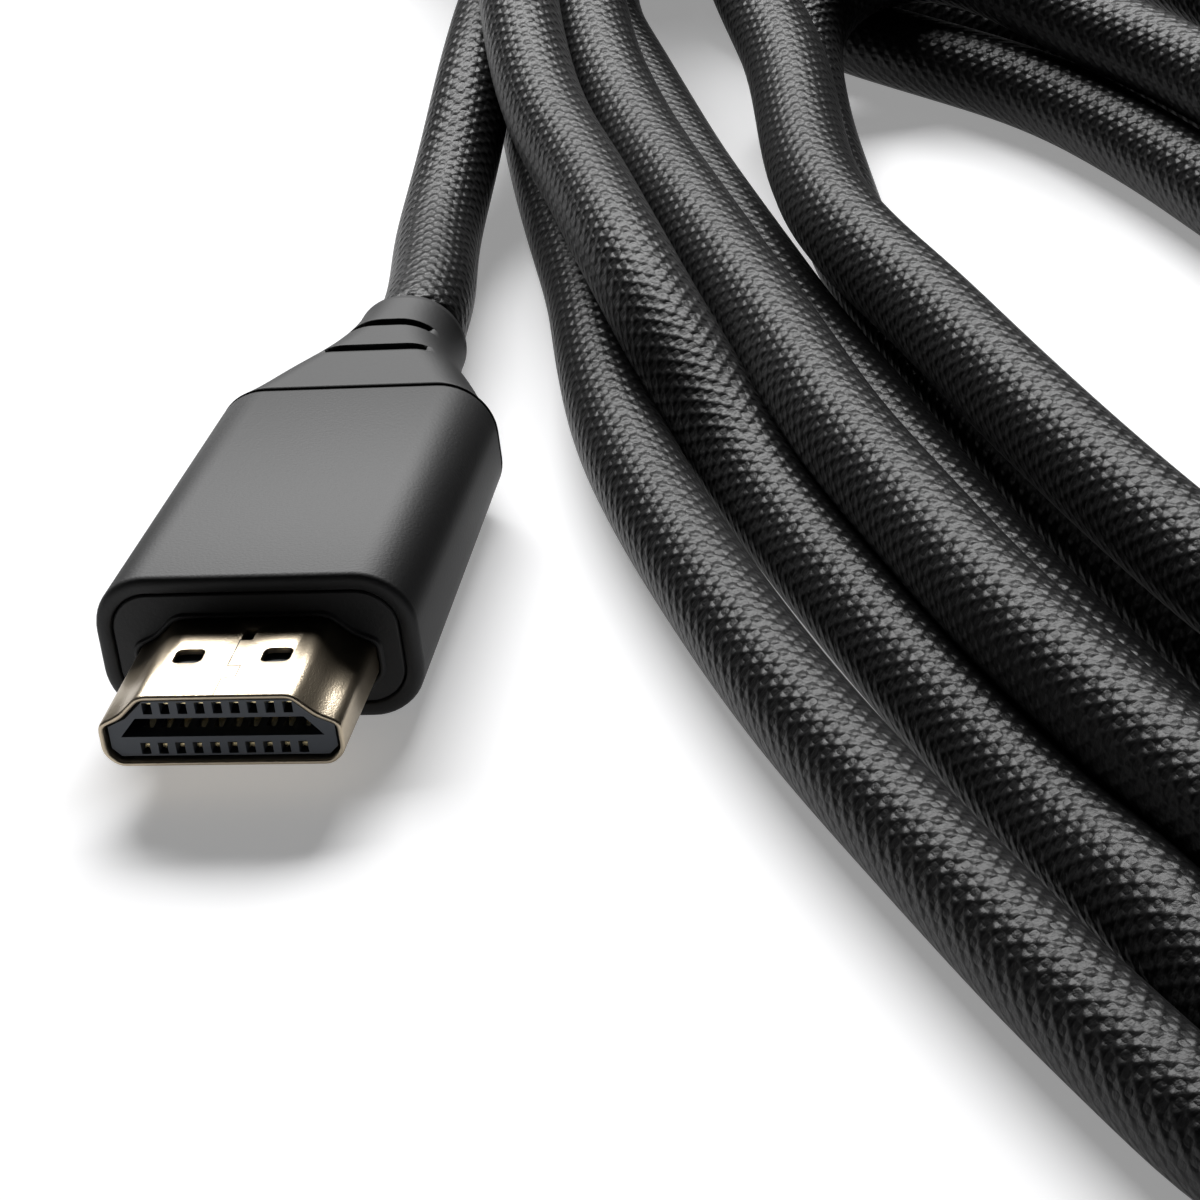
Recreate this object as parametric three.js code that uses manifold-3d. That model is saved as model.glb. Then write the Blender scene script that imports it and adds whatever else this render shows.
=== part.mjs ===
// A round braided cable with a rectangular-sleeved video plug on each end, lying on a level floor as a tied coil.
// Millimetres, +Z up. The floor is Z = 0, and the origin is on it, under the middle of plug A's housing.
// +Y is along the coil's long side. Plug A lies beside the coil and points down and to the left of -Y.
import * as THREE from 'three';
import { mergeVertices } from 'three/addons/utils/BufferGeometryUtils.js';
import Module from 'manifold-3d';

// The folded sheet-metal shell: a D-shaped section, its wide side down
const SHELL_WIDTH = 13.9;
const SHELL_HEIGHT = 4.45;
const SHELL_WALL = 0.3;
const SHELL_REACH = 8.7;
const SHELL_SEAT = 3.5;
const SHELL_FOOT_CHAMFER = 0.8;
const SHELL_SIDE_HEIGHT = 2.68;
const SHELL_STEP_IN = 1.29;
const SHELL_STEP_RISE = 0.59;
const SHELL_TOP_IN = 2.55;
const SHELL_BELOW_MIDDLE = 0.145;

// The two latch windows in the shell's narrow side
const WINDOW_WIDTH = 1.6;
const WINDOW_LENGTH = 1.4;
const WINDOW_SPREAD = 5.08;
const WINDOW_FROM_MOUTH = 3.7;

// The insulator and its slot
const INSULATOR_RECESS = 0.35;
const SLOT_DEPTH = 6.6;
const SLOT_FLOOR = 1.7;
const SLOT_HEIGHT = 1.17;
const SLOT_WIDTH = 11.6;
const SLOT_CORNER = 1.0;

// The contacts: a row below the slot and a row above it, each in its own channel
const CONTACT_PITCH = 1.0;
const LOWER_CONTACTS = 10;
const UPPER_CONTACTS = 9;
const CHANNEL_WIDTH = 0.54;
const CHANNEL_HEIGHT = 0.72;
const LOWER_CHANNEL_Z = 0.97;
const UPPER_CHANNEL_Z = 3.49;
const CHANNEL_LIP = 1.0;
const CONTACT_WIDTH = 0.38;
const CONTACT_THICKNESS = 0.26;
const CONTACT_PROUD = 0.2;
const CONTACT_TIP = 0.5;

// The sleeve, the block inside it and the moulded strain relief behind it
const SLEEVE_WIDTH = 18.9;
const SLEEVE_HEIGHT = 9.3;
const SLEEVE_LENGTH = 25.6;
const SLEEVE_WALL = 1.0;
const SLEEVE_CORNER = 3.4;
const SLEEVE_REAR_WIDTH = 17.9;
const SLEEVE_REAR_HEIGHT = 8.6;
const BOOT_LENGTH = 15.2;
const BOOT_ROOT = 4.0;
const BOOT_END_WIDTH = 7.4;
const BOOT_END_HEIGHT = 7.1;
const BOOT_SLOT_LENGTH = 1.0;
const BOOT_SLOT_DEPTH = 1.1;
const BOOT_SLOT_AT = 6.4;
const BOOT_SLOT_WIDTH = 7.4;
const BOOT_SLOT_PITCH = 4.2;

// The cable and where its plugs lie
const CABLE_DIAMETER = 6.0;
const PLUG_A_TURN = -21.4;
const PLUG_B_AT = [3, 172.5];
const PLUG_B_TURN = -150;

// The coil: five turns, drawn as one solid of their outer shape
const COIL_HEIGHT = 12.0;
const COIL_ROUNDING = 2.6;
const WAIST_Y = 112;
const WAIST_LEFT = 30.5;
const WAIST_WIDTH = 26;
const WAIST_HEIGHT = 18;
const WAIST_RISE = 44;
const WAIST_FALL = 17;

// The tie round the coil's waist
const TIE_WIDTH = 12;
const TIE_THICKNESS = 1.6;
const TIE_CORNER = 5;

// The clearance between pieces that sit in or on each other, and the gap between a cord's faces
const FIT = 0.2;
const GAP = 0.3;

const wasm = await Module();
wasm.setup();

function solid(geometry) {
  const bare = geometry.clone();
  bare.deleteAttribute('normal');
  bare.deleteAttribute('uv');
  const merged = mergeVertices(bare, 1e-5);
  return new wasm.Manifold(new wasm.Mesh({
    numProp: 3,
    vertProperties: new Float32Array(merged.attributes.position.array),
    triVerts: new Uint32Array(merged.index.array),
  }));
}

function geometryOf(manifold) {
  const mesh = manifold.getMesh();
  const geometry = new THREE.BufferGeometry();
  geometry.setAttribute('position', new THREE.Float32BufferAttribute(mesh.vertProperties, 3));
  geometry.setIndex(new THREE.Uint32BufferAttribute(mesh.triVerts, 1));
  geometry.computeVertexNormals();
  return geometry;
}

// Takes the cutters away from a body
function cut(body, ...cutters) {
  return geometryOf(cutters.reduce((left, cutter) => left.subtract(solid(cutter)), solid(body)));
}

function join(...bodies) {
  return geometryOf(bodies.map(solid).reduce((sum, body) => sum.add(body)));
}

// A section drawn in x and z, run along +Y between two stations
function prism(section, start, end, steps = 1) {
  const shape = section instanceof THREE.Shape ? section : new THREE.Shape(section);
  const geometry = new THREE.ExtrudeGeometry(shape, { depth: end - start, steps, bevelEnabled: false, curveSegments: 5 });
  return geometry.rotateX(Math.PI / 2).translate(0, end, 0);
}

function box(x0, x1, y0, y1, z0, z1) {
  return new THREE.BoxGeometry(x1 - x0, y1 - y0, z1 - z0).translate((x0 + x1) / 2, (y0 + y1) / 2, (z0 + z1) / 2);
}

function roundedRectangle(width, height, radius, centreZ = 0) {
  const w = width / 2;
  const h = height / 2;
  const r = Math.min(radius, w, h);
  const shape = new THREE.Shape();
  shape.moveTo(-w + r, centreZ - h);
  shape.lineTo(w - r, centreZ - h);
  shape.absarc(w - r, centreZ - h + r, r, -Math.PI / 2, 0, false);
  shape.lineTo(w, centreZ + h - r);
  shape.absarc(w - r, centreZ + h - r, r, 0, Math.PI / 2, false);
  shape.lineTo(-w + r, centreZ + h);
  shape.absarc(-w + r, centreZ + h - r, r, Math.PI / 2, Math.PI, false);
  shape.lineTo(-w, centreZ - h + r);
  shape.absarc(-w + r, centreZ - h + r, r, Math.PI, 1.5 * Math.PI, false);
  return shape;
}

// Moves each side of a closed outline inwards by the same distance
function inset(outline, distance) {
  const lines = outline.map((point, i) => {
    const next = outline[(i + 1) % outline.length];
    const along = next.clone().sub(point).normalize();
    const inwards = new THREE.Vector2(-along.y, along.x).multiplyScalar(distance);
    return { from: point.clone().add(inwards), along };
  });
  return lines.map((line, i) => {
    const before = lines[(i + lines.length - 1) % lines.length];
    const apart = line.from.clone().sub(before.from);
    const reach = apart.cross(line.along) / before.along.cross(line.along);
    return before.from.clone().addScaledVector(before.along, reach);
  });
}

// The middle of the plug's height at its front, and where the strain relief and the cable leave it
const AXIS_Z = SLEEVE_HEIGHT / 2;
const EXIT_Z = SLEEVE_REAR_HEIGHT / 2;
const SHELL_FOOT_Z = AXIS_Z - SHELL_HEIGHT / 2 - SHELL_BELOW_MIDDLE;
const SLEEVE_FRONT = SHELL_REACH;
const SLEEVE_REAR = SLEEVE_FRONT + SLEEVE_LENGTH;
const BOOT_END = SLEEVE_REAR + BOOT_LENGTH;

function shellOutline(distance) {
  const half = SHELL_WIDTH / 2;
  const right = [
    [half - SHELL_FOOT_CHAMFER, 0],
    [half, SHELL_FOOT_CHAMFER],
    [half, SHELL_SIDE_HEIGHT],
    [half - SHELL_STEP_IN, SHELL_SIDE_HEIGHT + SHELL_STEP_RISE],
    [half - SHELL_TOP_IN, SHELL_HEIGHT],
  ];
  const left = right.map(([x, z]) => [-x, z]).reverse();
  const outline = [...right, ...left].map(([x, z]) => new THREE.Vector2(x, z + SHELL_FOOT_Z));
  return inset(outline, distance);
}

// A body whose section shrinks evenly from its front to its rear, its underside kept level
function tapered(geometry, underside, widthRatio, heightRatio) {
  const position = geometry.attributes.position;
  for (let i = 0; i < position.count; i += 1) {
    const t = (position.getY(i) - SLEEVE_FRONT) / SLEEVE_LENGTH;
    position.setX(i, position.getX(i) * (1 + (widthRatio - 1) * t));
    position.setZ(i, underside + (position.getZ(i) - underside) * (1 + (heightRatio - 1) * t));
  }
  return geometry;
}

function shellGeometry() {
  const rear = SLEEVE_FRONT + SHELL_SEAT;
  const top = SHELL_FOOT_Z + SHELL_HEIGHT;
  const windows = [-1, 1].map((side) => {
    const x = side * WINDOW_SPREAD / 2;
    const y = WINDOW_FROM_MOUTH;
    return box(x - WINDOW_WIDTH / 2, x + WINDOW_WIDTH / 2, y, y + WINDOW_LENGTH, top - SHELL_WALL - FIT / 2, top + 1);
  });
  return cut(prism(shellOutline(0), 0, rear), prism(shellOutline(SHELL_WALL), -1, rear + 1), ...windows);
}

function contactPlaces() {
  const row = (count, z, up) => Array.from({ length: count }, (_, i) => ({
    x: (i - (count - 1) / 2) * CONTACT_PITCH,
    z: SHELL_FOOT_Z + z,
    up,
  }));
  return [...row(LOWER_CONTACTS, LOWER_CHANNEL_Z, 1), ...row(UPPER_CONTACTS, UPPER_CHANNEL_Z, -1)];
}

function slotSection() {
  const floor = SHELL_FOOT_Z + SLOT_FLOOR;
  const roof = floor + SLOT_HEIGHT;
  const half = SLOT_WIDTH / 2;
  return [[-half, floor], [half, floor], [half - SLOT_CORNER, roof], [-half + SLOT_CORNER, roof]]
    .map(([x, z]) => new THREE.Vector2(x, z));
}

// The depth from a channel's front, past its lip, to where its contact is rooted
const CHANNEL_END = INSULATOR_RECESS + SLOT_DEPTH;

function insulatorGeometry() {
  const rear = SLEEVE_FRONT + SHELL_SEAT;
  const body = prism(shellOutline(SHELL_WALL + FIT), INSULATOR_RECESS, rear);
  const floor = SHELL_FOOT_Z + SLOT_FLOOR;
  const roof = floor + SLOT_HEIGHT;
  const channels = contactPlaces().flatMap(({ x, z, up }) => {
    const x0 = x - CHANNEL_WIDTH / 2;
    const x1 = x + CHANNEL_WIDTH / 2;
    const far = z - up * CHANNEL_HEIGHT / 2;
    const near = z + up * CHANNEL_HEIGHT / 2;
    const open = up > 0 ? floor + 0.1 : roof - 0.1;
    return [
      box(x0, x1, -1, CHANNEL_END, Math.min(far, near), Math.max(far, near)),
      box(x0, x1, INSULATOR_RECESS + CHANNEL_LIP, CHANNEL_END, Math.min(far, open), Math.max(far, open)),
    ];
  });
  return cut(body, prism(slotSection(), -1, INSULATOR_RECESS + SLOT_DEPTH), ...channels);
}

// A stamped strip: its tip shows in the channel's mouth and its crown stands into the slot
function contactGeometry({ x, z, up }) {
  const low = z - up * (CHANNEL_HEIGHT / 2 - FIT / 2);
  const crown = SHELL_FOOT_Z + (up > 0 ? SLOT_FLOOR : SLOT_FLOOR + SLOT_HEIGHT) + up * CONTACT_PROUD;
  const tip = INSULATOR_RECESS + CONTACT_TIP;
  const bend = INSULATOR_RECESS + CHANNEL_LIP + FIT;
  const root = CHANNEL_END - FIT / 2;
  const t = up * CONTACT_THICKNESS;
  const side = [
    [tip, low],
    [root, low],
    [root, low + t],
    [bend + 4.2, crown],
    [bend + 1.0, crown],
    [bend, low + t],
    [tip, low + t],
  ];
  const shape = new THREE.Shape(side.map(([y, h]) => new THREE.Vector2(y, h)));
  const strip = new THREE.ExtrudeGeometry(shape, { depth: CONTACT_WIDTH, bevelEnabled: false });
  // the profile's first axis is the plug's own y, its second is z, and it is extruded across x
  const basis = new THREE.Matrix4().makeBasis(
    new THREE.Vector3(0, 1, 0), new THREE.Vector3(0, 0, 1), new THREE.Vector3(1, 0, 0));
  return strip.applyMatrix4(basis).translate(x - CONTACT_WIDTH / 2, 0, 0);
}

function sleeveGeometry() {
  const outer = prism(roundedRectangle(SLEEVE_WIDTH, SLEEVE_HEIGHT, SLEEVE_CORNER, AXIS_Z), SLEEVE_FRONT, SLEEVE_REAR);
  tapered(outer, 0, SLEEVE_REAR_WIDTH / SLEEVE_WIDTH, SLEEVE_REAR_HEIGHT / SLEEVE_HEIGHT);
  return cut(outer, bore(0, SLEEVE_FRONT - 1, SLEEVE_REAR + 1));
}

// The sleeve's inside, or a piece that fills it with the given clearance
function bore(clearance, start, end) {
  const width = SLEEVE_WIDTH - 2 * (SLEEVE_WALL + clearance);
  const height = SLEEVE_HEIGHT - 2 * (SLEEVE_WALL + clearance);
  const rearWidth = SLEEVE_REAR_WIDTH - 2 * (SLEEVE_WALL + clearance);
  const rearHeight = SLEEVE_REAR_HEIGHT - 2 * (SLEEVE_WALL + clearance);
  const corner = SLEEVE_CORNER - SLEEVE_WALL - clearance;
  const body = prism(roundedRectangle(width, height, corner, AXIS_Z), start, end);
  return tapered(body, SLEEVE_WALL + clearance, rearWidth / width, rearHeight / height);
}

function coreGeometry() {
  const body = bore(FIT, SLEEVE_FRONT, SLEEVE_REAR - BOOT_ROOT - FIT);
  return cut(body, prism(shellOutline(-FIT), SLEEVE_FRONT - 1, SLEEVE_FRONT + SHELL_SEAT + FIT));
}

// The strain relief: rounded shoulders from the sleeve's rear, then a taper to the cable, with slots across it
function bootGeometry() {
  const front = SLEEVE_REAR + FIT / 2;
  const body = prism(roundedRectangle(2, 2, 0.86, 0), front, BOOT_END, 10);
  const position = body.attributes.position;
  for (let i = 0; i < position.count; i += 1) {
    const t = (position.getY(i) - front) / (BOOT_END - front);
    const shoulder = (1 - t) ** 2.1 * (1 - 0.12 * Math.cos(Math.PI * Math.min(1, 2.4 * t)) + 0.12);
    const width = BOOT_END_WIDTH + (SLEEVE_REAR_WIDTH - BOOT_END_WIDTH) * shoulder;
    const height = BOOT_END_HEIGHT + (SLEEVE_REAR_HEIGHT - BOOT_END_HEIGHT) * (1 - t);
    position.setX(i, position.getX(i) * width / 2);
    position.setZ(i, EXIT_Z + position.getZ(i) * height / 2);
  }
  const root = bore(FIT, SLEEVE_REAR - BOOT_ROOT, front + 0.5);
  const slots = [0, 1].flatMap((i) => {
    const y = SLEEVE_REAR + BOOT_SLOT_AT + i * BOOT_SLOT_PITCH;
    const t = (y - SLEEVE_REAR) / BOOT_LENGTH;
    const top = (BOOT_END_HEIGHT + (SLEEVE_REAR_HEIGHT - BOOT_END_HEIGHT) * (1 - t)) / 2;
    const half = BOOT_SLOT_WIDTH / 2;
    return [
      box(-half, half, y - BOOT_SLOT_LENGTH / 2, y + BOOT_SLOT_LENGTH / 2, EXIT_Z + top - BOOT_SLOT_DEPTH, EXIT_Z + top + 2),
      box(-half, half, y - BOOT_SLOT_LENGTH / 2, y + BOOT_SLOT_LENGTH / 2, EXIT_Z - top - 2, EXIT_Z - top + BOOT_SLOT_DEPTH),
    ];
  });
  return cut(join(body, root), ...slots);
}

const FINISH = {
  shell: { color: 0xd8c9a8, roughness: 0.35, metalness: 1 },
  contact: { color: 0xd9b45c, roughness: 0.3, metalness: 1 },
  insulator: { color: 0x39414e, roughness: 0.55, metalness: 0 },
  housing: { color: 0x1b1b1c, roughness: 0.6, metalness: 0 },
  core: { color: 0x161617, roughness: 0.6, metalness: 0 },
  boot: { color: 0x1d1d1e, roughness: 0.65, metalness: 0 },
  braid: { color: 0x18181a, roughness: 0.85, metalness: 0 },
  tie: { color: 0x141415, roughness: 0.9, metalness: 0 },
};

function piece(name, geometry, finish) {
  const mesh = new THREE.Mesh(geometry, new THREE.MeshStandardMaterial(FINISH[finish]));
  mesh.name = name;
  return mesh;
}

// One plug, its mouth at the group's y = 0 and its cable leaving towards +Y
function plug(name) {
  const group = new THREE.Group();
  group.add(
    piece(`${name}_shell`, shellGeometry(), 'shell'),
    piece(`${name}_insulator`, insulatorGeometry(), 'insulator'),
    piece(`${name}_housing`, sleeveGeometry(), 'housing'),
    piece(`${name}_core`, coreGeometry(), 'core'),
    piece(`${name}_boot`, bootGeometry(), 'boot'),
  );
  contactPlaces().forEach((place, i) => {
    const number = String(i + 1).padStart(2, '0');
    group.add(piece(`${name}_contact_${number}`, contactGeometry(place), 'contact'));
  });
  return group;
}

// Turns a plug about the vertical and puts the middle of its housing over a point of the floor
function lay(group, x, y, degrees) {
  const middle = SLEEVE_FRONT + SLEEVE_LENGTH / 2;
  const angle = THREE.MathUtils.degToRad(degrees);
  group.rotation.z = angle;
  group.position.set(x + middle * Math.sin(angle), y - middle * Math.cos(angle), 0);
  group.updateMatrixWorld(true);
  return group;
}

// A round tube along a smooth line through the points
function tube(points, steps) {
  const path = new THREE.CatmullRomCurve3(points, false, 'centripetal');
  const section = new THREE.Shape();
  const sides = 10;
  for (let i = 0; i < sides; i += 1) {
    const angle = 2 * Math.PI * i / sides;
    const x = Math.cos(angle) * CABLE_DIAMETER / 2;
    const y = Math.sin(angle) * CABLE_DIAMETER / 2;
    if (i === 0) section.moveTo(x, y);
    else section.lineTo(x, y);
  }
  return new THREE.ExtrudeGeometry(section, { steps, extrudePath: path, bevelEnabled: false });
}

function closedCurve(points, count) {
  const curve = new THREE.CatmullRomCurve3(points.map(([x, y]) => new THREE.Vector3(x, y, 0)), true, 'centripetal');
  return curve.getPoints(count).slice(0, -1).map((p) => new THREE.Vector2(p.x, p.y));
}

const WAIST_RIGHT = WAIST_LEFT + WAIST_WIDTH;
const WAIST_FOOT_Z = TIE_THICKNESS + FIT;
const WAIST_TOP_Z = WAIST_FOOT_Z + WAIST_HEIGHT;

// Two lobes of turns, beside and on each other, gathered at the waist by the tie
function coilGeometry() {
  const near = [[29.2, 99], [26.4, 90], [23.6, 76], [22.6, 64], [22, 52], [20.9, 42], [18.5, 19], [17.7, 2], [18.4, -16], [21.6, -42], [26, -62]];
  const lowerTurn = [[29.8, -75], [37, -87], [48.5, -94.5], [63, -97.2], [77.5, -94.5], [88.8, -86], [95.6, -74], [98.2, -58]];
  const far = [[97.4, -28], [94.6, -4], [91.6, 24], [87.4, 53], [82.6, 69], [74, 83.5], [62, 94]];
  const waistRight = [[WAIST_RIGHT, WAIST_Y - 6], [WAIST_RIGHT, WAIST_Y + 6]];
  const upperTurn = [[63.5, 124], [71.5, 131], [76.6, 139.5], [78, 149], [75.8, 159], [70, 167.5], [60.5, 173.8], [50, 175.6], [39, 174], [30.5, 168.5], [24.6, 159], [22.8, 148], [24.4, 138], [27.2, 128]];
  const waistLeft = [[WAIST_LEFT, WAIST_Y + 5], [WAIST_LEFT, WAIST_Y - 5]];
  const outline = closedCurve([...near, ...lowerTurn, ...far, ...waistRight, ...upperTurn, ...waistLeft], 120);
  const shape = new THREE.Shape(outline);
  const lowerHole = [[51, 59], [47.2, 50], [45, 36], [44.4, 18], [46, 0], [48.2, -20], [51.6, -40], [54, -56], [57.4, -68], [63.6, -73], [70.4, -68.5], [73.2, -56], [72.6, -32], [70, -10], [66, 14], [62.6, 38], [58, 54]];
  const upperHole = [[48.8, 128.5], [43.6, 137], [42.2, 147], [45, 155], [50, 158.4], [55.4, 155], [57.6, 147], [54, 137]];
  shape.holes.push(new THREE.Path(closedCurve(lowerHole, 48)), new THREE.Path(closedCurve(upperHole, 28)));
  return new THREE.ExtrudeGeometry(shape, {
    depth: COIL_HEIGHT - 2 * COIL_ROUNDING,
    bevelThickness: COIL_ROUNDING,
    bevelSize: COIL_ROUNDING,
    bevelOffset: -COIL_ROUNDING,
    bevelSegments: 2,
  }).translate(0, 0, COIL_ROUNDING);
}

// The gathered stretch, which rises to the tie from both sides
function waistGeometry() {
  const side = [
    [WAIST_Y - WAIST_RISE, WAIST_FOOT_Z],
    [WAIST_Y + WAIST_FALL, WAIST_FOOT_Z],
    [WAIST_Y + WAIST_FALL, COIL_HEIGHT - 1],
    [WAIST_Y + TIE_WIDTH, WAIST_TOP_Z],
    [WAIST_Y - TIE_WIDTH, WAIST_TOP_Z],
    [WAIST_Y - WAIST_RISE, COIL_HEIGHT - 1],
  ];
  const shape = new THREE.Shape(side.map(([y, z]) => new THREE.Vector2(y, z)));
  const block = new THREE.ExtrudeGeometry(shape, { depth: WAIST_WIDTH, bevelEnabled: false });
  return block.applyMatrix4(new THREE.Matrix4().makeBasis(
    new THREE.Vector3(0, 1, 0), new THREE.Vector3(0, 0, 1), new THREE.Vector3(1, 0, 0))).translate(WAIST_LEFT, 0, 0);
}

const model = new THREE.Group();
const plugA = lay(plug('plug_a'), 0, 0, PLUG_A_TURN);
const plugB = lay(plug('plug_b'), ...PLUG_B_AT, PLUG_B_TURN);
model.add(plugA, plugB);

// Where each plug's cable leaves its strain relief, and its direction there
function cableExit(group) {
  const from = new THREE.Vector3(0, BOOT_END + GAP, EXIT_Z).applyMatrix4(group.matrixWorld);
  const along = new THREE.Vector3(0, 1, 0).transformDirection(group.matrixWorld);
  return { from, along };
}

const R = CABLE_DIAMETER / 2;
const exitA = cableExit(plugA);
const meetA = new THREE.Vector3(18.3, 55, R + 1.6);
const leadA = [
  exitA.from,
  exitA.from.clone().addScaledVector(exitA.along, 5),
  new THREE.Vector3(14.8, 43.5, R + 0.6),
  new THREE.Vector3(16.6, 49.5, R + 0.9),
  meetA,
];
const exitB = cableExit(plugB);
const meetB = new THREE.Vector3(21.4, 137.5, R + 1.1);
const leadB = [
  exitB.from,
  exitB.from.clone().addScaledVector(exitB.along, 5),
  meetB,
];

// The last stretch of each lead is bound into the waist with the turns
const boundA = [
  meetA.clone().add(new THREE.Vector3(GAP / 2, 1.5 * GAP, GAP / 2)),
  new THREE.Vector3(20.6, 61, 6.2),
  new THREE.Vector3(24, 72, 8),
  new THREE.Vector3(29, 88, 9.4),
  new THREE.Vector3(37, WAIST_Y - 8, 10),
];
const boundB = [
  meetB.clone().add(new THREE.Vector3(GAP / 2, -1.5 * GAP, 0)),
  new THREE.Vector3(24.3, 129, 4.4),
  new THREE.Vector3(34, WAIST_Y + 3, WAIST_FOOT_Z + R),
];

// The tie: a flat band closed round the waist, which it grips all round
const bandWidth = WAIST_WIDTH + 2 * FIT;
const bandHeight = WAIST_HEIGHT + 2 * FIT;
const bandX = WAIST_LEFT + WAIST_WIDTH / 2;
const bandZ = TIE_THICKNESS + bandHeight / 2;
const bandOuter = roundedRectangle(bandWidth + 2 * TIE_THICKNESS, bandHeight + 2 * TIE_THICKNESS, TIE_CORNER, bandZ);
const bandInner = roundedRectangle(bandWidth, bandHeight, TIE_CORNER - TIE_THICKNESS, bandZ);
const gripped = roundedRectangle(WAIST_WIDTH, WAIST_HEIGHT, TIE_CORNER - TIE_THICKNESS, bandZ);
const bandStart = WAIST_Y - TIE_WIDTH / 2;
const bandEnd = WAIST_Y + TIE_WIDTH / 2;
const band = cut(prism(bandOuter, bandStart, bandEnd), prism(bandInner, bandStart - 1, bandEnd + 1));
const groove = cut(
  box(-WAIST_WIDTH, WAIST_WIDTH, bandStart - FIT, bandEnd + FIT, -1, 2 * WAIST_HEIGHT),
  prism(gripped, bandStart - 1, bandEnd + 1)).translate(bandX, 0, 0);

const coil = cut(join(coilGeometry(), waistGeometry(), tube(boundA, 12), tube(boundB, 6)), groove);
model.add(
  piece('cable_lead_a', tube(leadA, 12), 'braid'),
  piece('cable_coil', coil, 'braid'),
  piece('cable_lead_b', tube(leadB, 8), 'braid'),
);
model.add(piece('coil_tie', band.translate(bandX, 0, 0), 'tie'));

export default model;
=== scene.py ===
import math
import bmesh
import bpy
import numpy as np
from mathutils import Matrix, Vector


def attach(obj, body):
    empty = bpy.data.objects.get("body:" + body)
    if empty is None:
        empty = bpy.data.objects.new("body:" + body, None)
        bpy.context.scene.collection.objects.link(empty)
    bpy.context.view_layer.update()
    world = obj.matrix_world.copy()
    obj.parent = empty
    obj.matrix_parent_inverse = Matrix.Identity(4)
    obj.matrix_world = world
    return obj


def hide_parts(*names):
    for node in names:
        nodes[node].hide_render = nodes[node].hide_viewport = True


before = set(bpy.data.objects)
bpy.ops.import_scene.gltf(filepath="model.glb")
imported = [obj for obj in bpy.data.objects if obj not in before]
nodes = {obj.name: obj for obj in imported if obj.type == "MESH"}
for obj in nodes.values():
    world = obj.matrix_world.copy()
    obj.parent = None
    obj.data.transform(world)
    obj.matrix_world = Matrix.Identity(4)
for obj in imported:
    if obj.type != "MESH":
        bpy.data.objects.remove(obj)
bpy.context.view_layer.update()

# The camera stands low in front of plug A, looking along it and down at the coil,
# as a close product view with a long lens.
camera_data = bpy.data.cameras.new("camera")
camera_data.lens = 111
camera_data.sensor_width = 36
camera_data.clip_start = 0.01
camera = bpy.data.objects.new("camera", camera_data)
camera.matrix_world = Matrix((
    (0.97266, 0.19709, -0.12286, -0.01101),
    (-0.20067, 0.44679, -0.87184, -0.19663),
    (-0.11694, 0.87266, 0.47413, 0.10382),
    (0, 0, 0, 1),
))
bpy.context.collection.objects.link(camera)
bpy.context.scene.camera = camera

# The cable is a round lead in a woven black nylon sleeve. It is wound by hand into long flat turns
# that a tie gathers near one end, so its runs lie beside and on each other. Each end goes into a boot.
MM = 0.001
CABLE = 6.0
REACH = CABLE / 2

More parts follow.
